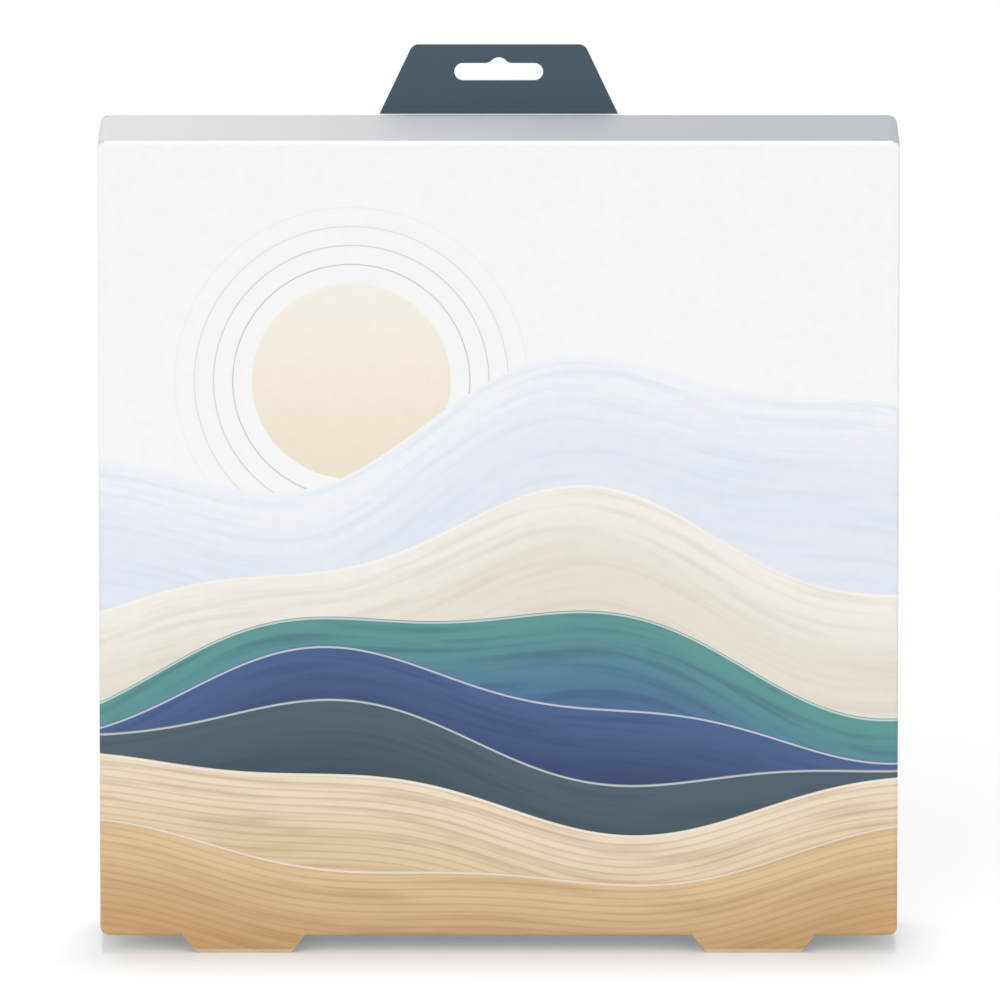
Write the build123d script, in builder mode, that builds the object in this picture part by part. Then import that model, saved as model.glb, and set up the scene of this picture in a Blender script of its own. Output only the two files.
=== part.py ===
"""Hang-tab carton: one blank of solid paperboard, creased, wrapped and glued into a closed box.

Millimetres, +Z up, the printed front faces -Y. The feet stand on z = 0.
"""

import os

from build123d import *

# Folded box, outside sizes without the feet and the hang tab
width = 250.0
height = 253.0
depth = 50.0

# Paperboard, with the outer radius of its sharp creases and of the softer ones on the side flaps
board = 0.6
fold_radius = 1.2
end_fold_radius = 2.0
corner_radius = 2.6
half = board / 2
fold_middle = fold_radius - half

# The top and bottom panels stop short of the side planes, and the walls short of their outer faces
edge_inset = 2.2
edge_drop = 0.4
wall_height = height - 2 * edge_drop

# Glue flaps of the top and bottom panels, and the side seam at the rear left corner
glue_depth = 14.0
seam_gap = 1.0
seam_width = 17.0
seam_end = 18.0
seam_chamfer = 5.7

# Dust flaps that fold in from both sides under the top and bottom panels
flap_length = 74.0
flap_margin = 2.2
flap_relief = 0.6
flap_chamfer = 9.0
flap_width = depth - board - 2 * flap_margin

# Feet: tongues of the front and back panels that stay upright when the bottom folds in
foot_height = 5.4
foot_base = 38.2
foot_tip = 29.1
foot_spacing = 160.0
foot_corner = 1.2

# Hang tab of two glued plies, with a slot for a display hook
tab_height = 22.4
tab_base = 75.1
tab_top = 53.9
tab_corner = 3.0
slot_length = 27.9
slot_bar = 5.5
slot_height = 13.7
hump_rise = 1.8
hump_radius = 3.0
hump_blend = 3.0

# Planes through the middle of the folded box, and the inner face of the back panel
middle = foot_height + height / 2
front_view = Plane((0, 0, middle), x_dir=(1, 0, 0), z_dir=(0, -1, 0))
side_view = Plane((0, 0, middle), x_dir=(0, 1, 0), z_dir=(1, 0, 0))
back_inside = depth / 2 - board
crease_lead = 4.0

# Four walls in one wrap, from the raw edge of the back panel round to the left wall
with BuildPart() as walls:
    with BuildSketch(Plane.XY.offset(foot_height + edge_drop)):
        with BuildLine():
            FilletPolyline(
                (seam_gap - width / 2, depth / 2 - half),
                (width / 2 - half, depth / 2 - half),
                (width / 2 - half, half - depth / 2),
                (half - width / 2, half - depth / 2),
                (half - width / 2, 0),
                radius=fold_middle,
            )
        trace(line_width=board)
    extrude(amount=wall_height)

    # The left wall turns in behind the raw edge, where the side seam is glued
    with BuildSketch(Plane.XY.offset(foot_height + edge_drop)):
        with BuildLine():
            FilletPolyline(
                (half - width / 2, 0),
                (half - width / 2, back_inside - half),
                (edge_inset - width / 2, back_inside - half),
                radius=fold_middle,
            )
        trace(line_width=board)
    extrude(amount=wall_height)

    # The front ends at the creases where the top and bottom panels fold in
    with BuildSketch(side_view):
        with Locations((-depth / 2, height / 2), (-depth / 2, -height / 2)):
            Rectangle(depth, 2 * fold_radius)
    extrude(amount=width / 2 - edge_inset, both=True, mode=Mode.SUBTRACT)

    # The side walls end lower still, where their dust flaps fold in
    with BuildSketch(side_view):
        with Locations((-half, height / 2), (-half, -height / 2)):
            Rectangle(flap_width + 2 * flap_relief, 2 * (board + end_fold_radius))
    extrude(amount=width, both=True, mode=Mode.SUBTRACT)

    # Die-cut corners, seen from the front
    with BuildSketch(front_view):
        RectangleRounded(width, wall_height, corner_radius)
    extrude(amount=depth, both=True, mode=Mode.INTERSECT)

# Side seam: the flap of the left wall, glued inside the back panel
with BuildPart() as seam:
    with BuildSketch(front_view.offset(-back_inside)):
        with Locations((edge_inset - width / 2, 0)):
            Rectangle(
                seam_width - edge_inset,
                height - 2 * seam_end,
                align=(Align.MIN, Align.CENTER),
            )
    extrude(amount=board)
    free_corners = seam.edges().filter_by(Axis.Y).group_by(Axis.X)[-1]
    chamfer(free_corners, length=seam_chamfer)

# Top and bottom panels, each folded in from the front and down a glue flap inside the back
with BuildPart() as ends:
    with BuildSketch(side_view):
        with BuildLine():
            FilletPolyline(
                (half - depth / 2, height / 2 - crease_lead),
                (half - depth / 2, height / 2 - half),
                (back_inside - half, height / 2 - half),
                (back_inside - half, height / 2 - glue_depth),
                radius=fold_middle,
            )
        trace(line_width=board)
        mirror(about=Plane.XZ)
    extrude(amount=width / 2 - edge_inset, both=True)
    glue_corners = ends.edges().filter_by(Axis.Y).filter_by_position(
        Axis.Y, back_inside - board, back_inside
    )
    chamfer(glue_corners, length=glue_depth - 2 * fold_radius)

    # Behind the hang tab there is no glue flap: the panel turns up there instead
    with BuildSketch(side_view):
        with Locations((back_inside, height / 2)):
            Rectangle(2 * fold_radius, 2 * glue_depth + board)
    extrude(amount=tab_base / 2, both=True, mode=Mode.SUBTRACT)

    # Each front foot leaves a window of its own outline in the bottom panel
    with BuildSketch(Plane.XY.offset(foot_height)):
        with GridLocations(foot_spacing, 1, 2, 1):
            Polygon(
                (-foot_base / 2, -depth / 2),
                (foot_base / 2, -depth / 2),
                (foot_tip / 2, foot_height - depth / 2),
                (-foot_tip / 2, foot_height - depth / 2),
                align=None,
            )
    extrude(amount=fold_radius, mode=Mode.SUBTRACT)

# Hang tab: the top panel turned up as the front ply, the back panel run on as the rear ply
with BuildPart() as tab:
    with BuildSketch(side_view):
        with BuildLine():
            FilletPolyline(
                (back_inside - crease_lead, height / 2 - half),
                (back_inside - half, height / 2 - half),
                (back_inside - half, height / 2 + tab_height),
                radius=fold_middle,
            )
        trace(line_width=board)
        with Locations((back_inside, height / 2 - crease_lead)):
            Rectangle(
                board,
                tab_height + crease_lead,
                align=(Align.MIN, Align.MIN),
            )
    extrude(amount=tab_base / 2, both=True)

    with BuildSketch(front_view) as outline:
        with Locations((0, height / 2)):
            Polygon(
                (-tab_base / 2, -crease_lead),
                (tab_base / 2, -crease_lead),
                (tab_base / 2, 0),
                (tab_top / 2, tab_height),
                (-tab_top / 2, tab_height),
                (-tab_base / 2, 0),
                align=None,
            )
        fillet(outline.vertices().group_by(Axis.Y)[-1], radius=tab_corner)
    extrude(amount=depth, both=True, mode=Mode.INTERSECT)

    # Hook slot: a bar with round ends and a low hump that centres the hook
    with BuildSketch(front_view) as slot:
        with Locations((0, height / 2 + slot_height)):
            SlotOverall(slot_length, slot_bar)
        with BuildSketch() as hump:
            with Locations((0, height / 2 + slot_height + slot_bar / 2 + hump_rise - hump_radius)):
                Circle(hump_radius)
            with Locations((0, height / 2 + slot_height)):
                Rectangle(
                    2 * hump_radius,
                    2 * hump_radius,
                    align=(Align.CENTER, Align.MIN),
                    mode=Mode.INTERSECT,
                )
        bar_edge = height / 2 + slot_height + slot_bar / 2
        shoulders = slot.vertices().filter_by_position(
            Axis.X, -hump_radius, hump_radius
        )
        fillet(
            shoulders.filter_by_position(Axis.Y, bar_edge - half, bar_edge + half),
            radius=hump_blend,
        )
    extrude(amount=depth, both=True, mode=Mode.SUBTRACT)

# Dust flaps: four, folded in from the side walls and closed over by the top and bottom panels
with BuildPart() as flaps:
    with BuildSketch(front_view.offset(half)):
        with BuildLine():
            FilletPolyline(
                (width / 2 - half, height / 2 - board - end_fold_radius - crease_lead),
                (width / 2 - half, height / 2 - board - half),
                (width / 2 - flap_length, height / 2 - board - half),
                radius=end_fold_radius - half,
            )
        trace(line_width=board)
        mirror(about=Plane.YZ)
        mirror(about=Plane.XZ)
    extrude(amount=flap_width / 2, both=True)
    free_ends = flaps.edges().filter_by(Axis.Z).filter_by_position(
        Axis.X, flap_length - width / 2, width / 2 - flap_length
    )
    chamfer(free_ends, length=flap_chamfer)

# Feet, one pair in the plane of the front panel and a like pair under the back panel
with BuildPart() as feet:
    with BuildSketch(front_view.offset(depth / 2)) as foot_pair:
        with GridLocations(foot_spacing, 1, 2, 1):
            with Locations((0, -height / 2)):
                Polygon(
                    (-foot_base / 2, crease_lead),
                    (foot_base / 2, crease_lead),
                    (foot_base / 2, 0),
                    (foot_tip / 2, -foot_height),
                    (-foot_tip / 2, -foot_height),
                    (-foot_base / 2, 0),
                    align=None,
                )
        fillet(foot_pair.vertices().group_by(Axis.Y)[0], radius=foot_corner)
    extrude(amount=-board)
    mirror(about=Plane.XZ)

# The whole blank, glued where its panels and flaps lie face to face
with BuildPart() as carton:
    for panels in (walls, seam, ends, tab, flaps, feet):
        add(panels.part)

carton.part.label = "carton"
os.makedirs("parts", exist_ok=True)
export_step(carton.part, "parts/carton.step")
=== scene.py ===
import math

import bpy
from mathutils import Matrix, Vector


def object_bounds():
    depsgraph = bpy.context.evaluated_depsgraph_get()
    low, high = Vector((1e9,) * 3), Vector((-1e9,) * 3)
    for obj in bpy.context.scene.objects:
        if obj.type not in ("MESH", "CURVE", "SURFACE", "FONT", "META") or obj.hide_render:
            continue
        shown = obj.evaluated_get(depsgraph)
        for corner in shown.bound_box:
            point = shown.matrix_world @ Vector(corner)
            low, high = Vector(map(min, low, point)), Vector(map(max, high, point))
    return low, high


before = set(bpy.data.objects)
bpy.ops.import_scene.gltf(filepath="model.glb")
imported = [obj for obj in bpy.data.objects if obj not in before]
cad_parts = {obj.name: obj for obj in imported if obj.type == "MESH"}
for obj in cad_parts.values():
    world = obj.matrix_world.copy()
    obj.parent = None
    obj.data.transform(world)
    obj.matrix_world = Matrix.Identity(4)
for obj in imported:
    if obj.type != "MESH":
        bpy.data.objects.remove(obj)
cad_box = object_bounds()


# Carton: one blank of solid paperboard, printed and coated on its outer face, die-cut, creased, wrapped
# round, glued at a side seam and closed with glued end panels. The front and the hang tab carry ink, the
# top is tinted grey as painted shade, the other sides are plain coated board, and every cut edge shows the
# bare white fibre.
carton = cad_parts["carton"]
board_thickness = 0.0006
fold_radius = 0.0012
flap_bend = 0.0030
foot_height = 0.0054
tab_height = 0.0224
glue_flap = 0.014
seam_flap = 0.017
half_width = cad_box[1].x
half_depth = cad_box[1].y
underside = cad_box[0].z + foot_height
top_face = cad_box[1].z - tab_height
panel_middle = (underside + top_face) / 2
half_height = (top_face - underside) / 2

paperboard = bpy.data.materials.new("printed_paperboard")
paperboard.use_nodes = True
nodes = paperboard.node_tree.nodes
links = paperboard.node_tree.links
coated_board = nodes["Principled BSDF"]


def feed(socket, value):
    """Links a socket to another node's output, or sets it to a plain value."""
    if isinstance(value, bpy.types.NodeSocket):
        links.new(value, socket)
    else:
        socket.default_value = value


def calc(operation, *values):
    """One Math node worked on plain numbers or other nodes' outputs."""
    node = nodes.new("ShaderNodeMath")
    node.operation = operation
    for socket, value in zip(node.inputs, values):
        feed(socket, value)
    return node.outputs[0]


def size(value):
    """The value without its sign."""
    return calc("ABSOLUTE", value)


def rise(value, start, end):
    """S-shaped step: 0 up to start, 1 from end on."""
    node = nodes.new("ShaderNodeMapRange")
    node.interpolation_type = "SMOOTHSTEP"
    feed(node.inputs["Value"], value)
    feed(node.inputs["From Min"], start)
    feed(node.inputs["From Max"], end)
    return node.outputs["Result"]


def fall(value, start, end):
    """S-shaped step down: 1 up to start, 0 from end on."""
    return calc("SUBTRACT", 1.0, rise(value, start, end))


def line(value, middle, reach):
    """A soft line: 1 where the value is at the middle, down to 0 at the reach on either side."""
    return fall(size(calc("SUBTRACT", value, middle)), 0.0, reach)


def where(*shares):
    """The product of several shares from 0 to 1: where all of them hold."""
    product = shares[0]
    for share in shares[1:]:
        product = calc("MULTIPLY", product, share)
    return product


def lay(under, over, share):
    """One colour laid over another, covering it by a share from 0 to 1."""
    node = nodes.new("ShaderNodeMix")
    node.data_type = "RGBA"
    feed(node.inputs["Factor"], share)
    feed(node.inputs[6], under)
    feed(node.inputs[7], over)
    return node.outputs[2]


def tint(under, over, share, strength):
    """One colour laid thinly over another: where the share is 1, it covers by the strength alone."""
    return lay(under, over, calc("MULTIPLY", share, strength))


def tone(colour, depth, share):
    """A colour darkened by a depth from 0 to 1, over a share of it from 0 to 1."""
    node = nodes.new("ShaderNodeMix")
    node.data_type = "RGBA"
    node.blend_type = "MULTIPLY"
    feed(node.inputs["Factor"], share)
    feed(node.inputs[6], colour)
    feed(node.inputs[7], (1 - depth, 1 - depth, 1 - depth, 1.0))
    return node.outputs[2]


def ink(red, green, blue):
    """A screen colour of 0 to 255 as linear light with full cover."""
    shares = (red / 255, green / 255, blue / 255)
    linear = [s / 12.92 if s <= 0.04045 else ((s + 0.055) / 1.055) ** 2.4 for s in shares]
    return (*linear, 1.0)


place = nodes.new("ShaderNodeTexCoord").outputs["Object"]
place_parts = nodes.new("ShaderNodeSeparateXYZ")
links.new(place, place_parts.inputs["Vector"])
across, depthwise, upward = place_parts.outputs
facing_parts = nodes.new("ShaderNodeSeparateXYZ")
links.new(nodes.new("ShaderNodeNewGeometry").outputs["Normal"], facing_parts.inputs["Vector"])
facing_across, facing_depthwise, facing_upward = facing_parts.outputs


def cloud(spot, grains, detail):
    """Even random cloud round 0.5 over a place, with so many grains to the metre."""
    noise = nodes.new("ShaderNodeTexNoise")
    links.new(spot, noise.inputs["Vector"])
    noise.inputs["Scale"].default_value = grains
    noise.inputs["Detail"].default_value = detail
    return noise.outputs["Fac"]


def mottle(grains, detail, draw=(1.0, 1.0, 1.0)):
    """The board's random grain, packed closer along each axis by the draw."""
    drawn = nodes.new("ShaderNodeMapping")
    links.new(place, drawn.inputs["Vector"])
    drawn.inputs["Scale"].default_value = draw
    return cloud(drawn.outputs["Vector"], grains, detail)


# Which part of the blank a point lies on, by its place and the way it faces.
# A hair is a tenth of a millimetre: printed and cut edges are soft over a few of them.
hair = 0.0001
mostly = (0.5, 0.6)
from_side = calc("SUBTRACT", half_width, size(across))
from_front = calc("ADD", half_depth, depthwise)
from_back = calc("SUBTRACT", half_depth, depthwise)
from_top = calc("SUBTRACT", top_face, upward)
above_top = fall(from_top, -4 * hair, -2 * hair)
flat_front_or_back = rise(size(facing_depthwise), *mostly)
edge_on = calc("SUBTRACT", 1.0, flat_front_or_back)
turned_forward = fall(facing_depthwise, -0.20, -0.10)
on_front = where(turned_forward, fall(from_front, fold_radius, fold_radius + hair))
on_back = rise(facing_depthwise, *mostly)
on_tab = where(flat_front_or_back, above_top)
lying_level = rise(facing_upward, 0.90, 0.97)
on_top_panel = where(lying_level, fall(size(from_top), 3 * hair, 5 * hair))
leaning_up = rise(facing_upward, 0.30, 0.40)
on_flap_bend = where(
    leaning_up,
    rise(from_top, 3 * hair, 5 * hair),
    fall(from_top, flap_bend - 2 * hair, flap_bend + 2 * hair),
    rise(from_front, fold_radius, fold_radius + 4 * hair),
)
on_top = calc("MAXIMUM", on_top_panel, on_flap_bend)
tab_cut = where(edge_on, above_top)
foot_cut = where(edge_on, fall(upward, underside - 3 * hair, underside))
facing_sideways = rise(size(facing_across), *mostly)
panel_cut = where(facing_sideways, fall(from_top, 0.8 * board_thickness, board_thickness))
cut_edge = calc("MAXIMUM", calc("MAXIMUM", tab_cut, foot_cut), panel_cut)
squarest = calc("MAXIMUM", size(facing_across), size(facing_depthwise))
squarest = calc("MAXIMUM", squarest, size(facing_upward))
on_fold = fall(squarest, 0.80, 0.985)

# Front print, first part: a pale disc with thin rings that fade outwards
white_coat = ink(246, 246, 246)
disc_head_ink = ink(245, 240, 231)
disc_foot_ink = ink(236, 224, 202)
disc_radius = 0.031
disc_across = -0.046
disc_upward = underside + 0.177
disc_fade = 1.2 * disc_radius
squared_across = calc("POWER", calc("SUBTRACT", across, disc_across), 2.0)
squared_upward = calc("POWER", calc("SUBTRACT", upward, disc_upward), 2.0)
from_disc = calc("SQRT", calc("ADD", squared_across, squared_upward))
disc_shade = rise(upward, disc_upward - disc_fade, disc_upward + disc_fade)
disc_colour = lay(disc_foot_ink, disc_head_ink, disc_shade)
on_disc = fall(from_disc, disc_radius - hair, disc_radius + hair)
front_colour = lay(white_coat, disc_colour, on_disc)
ring_ink = ink(150, 164, 176)
ring_strength = 0.55
ring_spacing = 0.006
ring_gap = 0.0025
from_rim = calc("SUBTRACT", from_disc, disc_radius)
ring_wave = calc("COSINE", calc("MULTIPLY", from_rim, math.tau / ring_spacing))
ring = where(
    rise(ring_wave, 0.965, 0.985),
    rise(from_rim, 0.8 * ring_gap, ring_gap),
    fall(from_rim, ring_gap, disc_radius),
)
front_colour = tint(front_colour, ring_ink, ring, ring_strength)

# Front print, second part: seven wavy bands from the disc down to the feet, each laid over the last.
# A band has its ink at the crest, its ink lower down, the ink of its brush strokes, and its height.
# The loop keeps the stroke ink of each point, and how far the point lies below the nearest rim above it.
deep_water = ink(34, 50, 94)
wood_grain = ink(172, 126, 78)
mist = (ink(240, 243, 248), ink(227, 232, 240), ink(206, 217, 233), 0.043)
linen = (ink(240, 237, 230), ink(228, 222, 211), ink(208, 198, 180), 0.030)
sea = (ink(92, 150, 144), ink(78, 116, 154), deep_water, 0.016)
navy = (ink(70, 96, 140), ink(48, 64, 104), deep_water, 0.013)
slate = (ink(76, 94, 106), ink(58, 74, 86), ink(46, 60, 72), 0.014)
sand = (ink(236, 222, 196), ink(224, 202, 166), wood_grain, 0.021)
oak = (ink(224, 195, 154), ink(206, 167, 119), wood_grain, 0.026)
bands = (mist, linen, sea, navy, slate, sand, oak)
crest = underside + sum(band_height for crest_ink, deep_ink, stroke_ink, band_height in bands)
long_wave = 0.300
long_start = 0.5
long_lag = 0.66
short_wave = 0.128
short_start = 1.1
short_lag = -0.95
short_share = 0.34
first_swing = 0.020
swing_loss = 0.0018
fade_depth = 0.030
grain_spacing = 0.0024
grain_turn = 27.0
grain_drift = 1.6
grain_strength = 0.22
above_all_rims = -1.0
below_nearest = above_all_rims
stroke_colour = front_colour
for order, band in enumerate(bands):
    crest_ink, deep_ink, stroke_ink, band_height = band
    swing = first_swing - swing_loss * order
    long_turn = calc("MULTIPLY_ADD", across, math.tau / long_wave, long_start + long_lag * order)
    short_turn = calc("MULTIPLY_ADD", across, math.tau / short_wave, short_start + short_lag * order)
    long_rim = calc("MULTIPLY_ADD", calc("SINE", long_turn), swing, crest)
    rim = calc("MULTIPLY_ADD", calc("SINE", short_turn), short_share * swing, long_rim)
    below_rim = calc("SUBTRACT", rim, upward)
    band_colour = lay(crest_ink, deep_ink, rise(below_rim, 0.0, fade_depth))
    if band in (sand, oak):
        sway = calc("SINE", calc("MULTIPLY_ADD", across, grain_turn, float(order)))
        swayed = calc("MULTIPLY", sway, grain_drift)
        grain_wave = calc("SINE", calc("MULTIPLY_ADD", below_rim, math.tau / grain_spacing, swayed))
        band_colour = tint(band_colour, wood_grain, rise(grain_wave, 0.2, 1.0), grain_strength)
    on_band = rise(below_rim, -hair, hair)
    front_colour = lay(front_colour, band_colour, on_band)
    stroke_colour = lay(stroke_colour, stroke_ink, on_band)
    rim_step = calc("SUBTRACT", below_rim, below_nearest)
    below_nearest = calc("MULTIPLY_ADD", rim_step, on_band, below_nearest)
    crest -= band_height

# Front print, third part: brush strokes that follow the rim above them, and a pale keyline under each rim
stroke_grains = 340.0
stroke_stretch = 16.0
stroke_strength = 0.32
keyline_strength = 0.55
stroke_spot = nodes.new("ShaderNodeCombineXYZ")
links.new(calc("DIVIDE", across, stroke_stretch), stroke_spot.inputs["X"])
links.new(below_nearest, stroke_spot.inputs["Y"])
links.new(calc("DIVIDE", upward, stroke_stretch), stroke_spot.inputs["Z"])
strokes = rise(cloud(stroke_spot.outputs["Vector"], stroke_grains, 3.0), 0.42, 0.72)
front_colour = tint(front_colour, stroke_colour, strokes, stroke_strength)
keyline = where(rise(below_nearest, hair, 4 * hair), fall(below_nearest, 7 * hair, 10 * hair))
front_colour = tint(front_colour, white_coat, keyline, keyline_strength)

# Plain board, painted shade on the top as a grey that deepens across it to the right, the inks, and bare
# fibre at cuts and rubbed folds
plain_board = ink(240, 240, 239)
top_shade_left = ink(214, 215, 216)
top_shade_right = ink(176, 180, 187)
tab_ink = ink(69, 88, 101)
bare_fibre = ink(236, 231, 222)
joint_shade = ink(178, 172, 164)
tip_wear = 0.40
fold_wear = 0.22
formation_depth = 0.02
# Painted shade: the top panel and the flap bends beside it are tinted grey, light at the left and deeper to
# the right
top_painted_shade = lay(top_shade_left, top_shade_right, rise(across, -0.135, 0.085))
colour = lay(plain_board, front_colour, on_front)
colour = lay(colour, top_painted_shade, on_top)
colour = lay(colour, tab_ink, on_tab)
foot_tip = where(on_front, fall(upward, 10 * hair, 14 * hair))
colour = tint(colour, bare_fibre, foot_tip, tip_wear)
rubbed = where(on_fold, rise(mottle(2400.0, 3.0), 0.50, 0.75))
colour = tint(colour, bare_fibre, rubbed, fold_wear)
colour = lay(colour, bare_fibre, cut_edge)
ply_joint = where(tab_cut, line(depthwise, half_depth - board_thickness, 1.2 * hair))
colour = lay(colour, joint_shade, ply_joint)
formation = mottle(240.0, 4.0)
colour = tone(colour, formation_depth, rise(formation, 0.35, 0.75))
links.new(colour, coated_board.inputs["Base Color"])

# Satin coating over the fibre, rougher on the top and where the board is cut or rubbed
smoothest = 0.34
fibre_roughness = 0.18
bare_roughness = 0.36
top_dullness = 0.5
fibre = mottle(1500.0, 3.0, (1.0, 1.0, 0.35))
satin = calc("MULTIPLY_ADD", fibre, fibre_roughness, smoothest)
bare = calc("MAXIMUM", cut_edge, rubbed)
duller = calc("MAXIMUM", bare, calc("MULTIPLY", on_top, top_dullness))
links.new(calc("MULTIPLY_ADD", duller, bare_roughness, satin), coated_board.inputs["Roughness"])
coated_board.inputs["Specular IOR Level"].default_value = 0.3

# Relief in metres: the panels' slight bow and waviness, the press marks beside the creases, the back's rise
# over the flaps glued inside it, and the fibre
bow_height = 0.0012
wave_height = 0.0003
press_mark = 0.0021
press_reach = 0.0006
press_depth = 0.000025
flap_edge = 0.0010
flap_rise = 0.0003
pore_height = 0.000012
fibre_height = 0.000006
from_middle = calc("SUBTRACT", upward, panel_middle)
bow_across = calc("SUBTRACT", 1.0, calc("POWER", calc("DIVIDE", across, half_width), 2.0))
bow_upward = calc("SUBTRACT", 1.0, calc("POWER", calc("DIVIDE", from_middle, half_height), 2.0))
bow = calc("MULTIPLY", calc("MULTIPLY", bow_across, bow_upward), bow_height)
wavy = calc("MULTIPLY_ADD", mottle(12.0, 1.0), wave_height, bow)
from_broad_face = calc("MINIMUM", from_front, from_back)
nearer = calc("MINIMUM", from_side, from_broad_face)
farther = calc("MAXIMUM", from_side, from_broad_face)
from_crease = calc("MAXIMUM", nearer, calc("MINIMUM", farther, size(from_top)))
pressed = calc("MULTIPLY_ADD", line(from_crease, press_mark, press_reach), -press_depth, wavy)
from_end = calc("SUBTRACT", half_height, size(from_middle))
from_seam = calc("ADD", half_width, across)
on_glue_flap = fall(from_end, glue_flap - flap_edge, glue_flap + flap_edge)
on_seam_flap = fall(from_seam, seam_flap - flap_edge, seam_flap + flap_edge)
two_plies = where(on_back, calc("MAXIMUM", on_glue_flap, on_seam_flap))
backed = calc("MULTIPLY_ADD", two_plies, flap_rise, pressed)
pores = calc("MULTIPLY_ADD", formation, pore_height, backed)
relief = nodes.new("ShaderNodeBump")
relief.inputs["Strength"].default_value = 1.0
relief.inputs["Distance"].default_value = 1.0
links.new(calc("MULTIPLY_ADD", fibre, fibre_height, pores), relief.inputs["Height"])
links.new(relief.outputs["Normal"], coated_board.inputs["Normal"])
carton.material_slots[0].material = paperboard


# Floor: a broad sheet of white studio board that the carton stands on, lit through from below a little,
# so that the shadow on it stays soft and pale. It is plain and runs out of sight on all sides.
floor_half = 30.0
floor_white = (0.94, 0.94, 0.94, 1.0)
glow_share = 0.20
floor_mesh = bpy.data.meshes.new("floor")
floor_mesh.from_pydata(
    [
        (-floor_half, -floor_half, 0.0),
        (floor_half, -floor_half, 0.0),
        (floor_half, floor_half, 0.0),
        (-floor_half, floor_half, 0.0),
    ],
    [],
    [(0, 1, 2, 3)],
)
floor = bpy.data.objects.new("floor", floor_mesh)
bpy.context.collection.objects.link(floor)
studio_white = bpy.data.materials.new("studio_white")
studio_white.use_nodes = True
floor_tree = studio_white.node_tree
floor_board = floor_tree.nodes["Principled BSDF"]
floor_board.inputs["Base Color"].default_value = floor_white
floor_board.inputs["Roughness"].default_value = 0.9
floor_board.inputs["Specular IOR Level"].default_value = 0.1


def seen_directly(tree):
    """1 for rays from the camera, a glossy surface or glass, and 0 for rays that only carry light."""
    path = tree.nodes.new("ShaderNodeLightPath")
    seen = path.outputs["Is Camera Ray"]
    for kind in ("Is Glossy Ray", "Is Transmission Ray"):
        either = tree.nodes.new("ShaderNodeMath")
        either.operation = "MAXIMUM"
        tree.links.new(seen, either.inputs[0])
        tree.links.new(path.outputs[kind], either.inputs[1])
        seen = either.outputs[0]
    return seen


glow_seen = floor_tree.nodes.new("ShaderNodeMath")
glow_seen.operation = "MULTIPLY"
glow_seen.inputs[1].default_value = glow_share
floor_tree.links.new(seen_directly(floor_tree), glow_seen.inputs[0])
floor_glow = floor_tree.nodes.new("ShaderNodeEmission")
floor_mix = floor_tree.nodes.new("ShaderNodeMixShader")
floor_tree.links.new(glow_seen.outputs[0], floor_mix.inputs["Fac"])
floor_tree.links.new(floor_board.outputs["BSDF"], floor_mix.inputs[1])
floor_tree.links.new(floor_glow.outputs["Emission"], floor_mix.inputs[2])
floor_tree.links.new(floor_mix.outputs["Shader"], floor_tree.nodes["Material Output"].inputs["Surface"])
floor_mesh.materials.append(studio_white)


# Light: an even white studio all round, a broad lamp overhead and a little behind, whose shadow falls to
# the front, and a broad fill lamp before the front on the left.
# What the camera and glossy surfaces see of the studio is white.
studio = bpy.data.worlds.new("studio")
studio.use_nodes = True
studio_nodes = studio.node_tree.nodes
studio_links = studio.node_tree.links
studio_level = studio_nodes.new("ShaderNodeMapRange")
studio_level.inputs["To Min"].default_value = 0.50
studio_level.inputs["To Max"].default_value = 1.0
studio_links.new(seen_directly(studio.node_tree), studio_level.inputs["Value"])
studio_links.new(studio_level.outputs["Result"], studio_nodes["Background"].inputs["Strength"])
studio_nodes["Background"].inputs["Color"].default_value = (1.0, 1.0, 1.0, 1.0)
bpy.context.scene.world = studio


def broad_lamp(name, level, softness, tilt, turn):
    """A far, soft lamp. Level 1 lights a white sheet square to it to white; tilt leans it to the front."""
    data = bpy.data.lights.new(name, "SUN")
    data.energy = level * math.pi
    data.angle = math.radians(softness)
    lamp = bpy.data.objects.new(name, data)
    lamp.rotation_euler = (math.radians(tilt), 0.0, math.radians(turn))
    bpy.context.collection.objects.link(lamp)


broad_lamp("overhead_lamp", level=0.42, softness=12, tilt=-4, turn=0)
broad_lamp("front_lamp", level=0.30, softness=60, tilt=55, turn=-12)


# Camera: square to the front, from far off and a little above.
# The front takes 0.8 of the picture's width.
camera_rise = math.radians(10.8)
camera_distance = 6.0
front_share = 0.8003
aim_across = 0.0004
aim_upward = 0.14465
camera_data = bpy.data.cameras.new("camera")
camera_data.sensor_width = 36.0
camera_data.lens = front_share * camera_data.sensor_width * camera_distance / (2 * half_width)
camera = bpy.data.objects.new("camera", camera_data)
camera.location = (
    aim_across,
    -half_depth - camera_distance * math.cos(camera_rise),
    aim_upward + camera_distance * math.sin(camera_rise),
)
camera.rotation_euler = (math.pi / 2 - camera_rise, 0.0, 0.0)
bpy.context.collection.objects.link(camera)
bpy.context.scene.camera = camera
bpy.context.scene.view_settings.view_transform = "Standard"
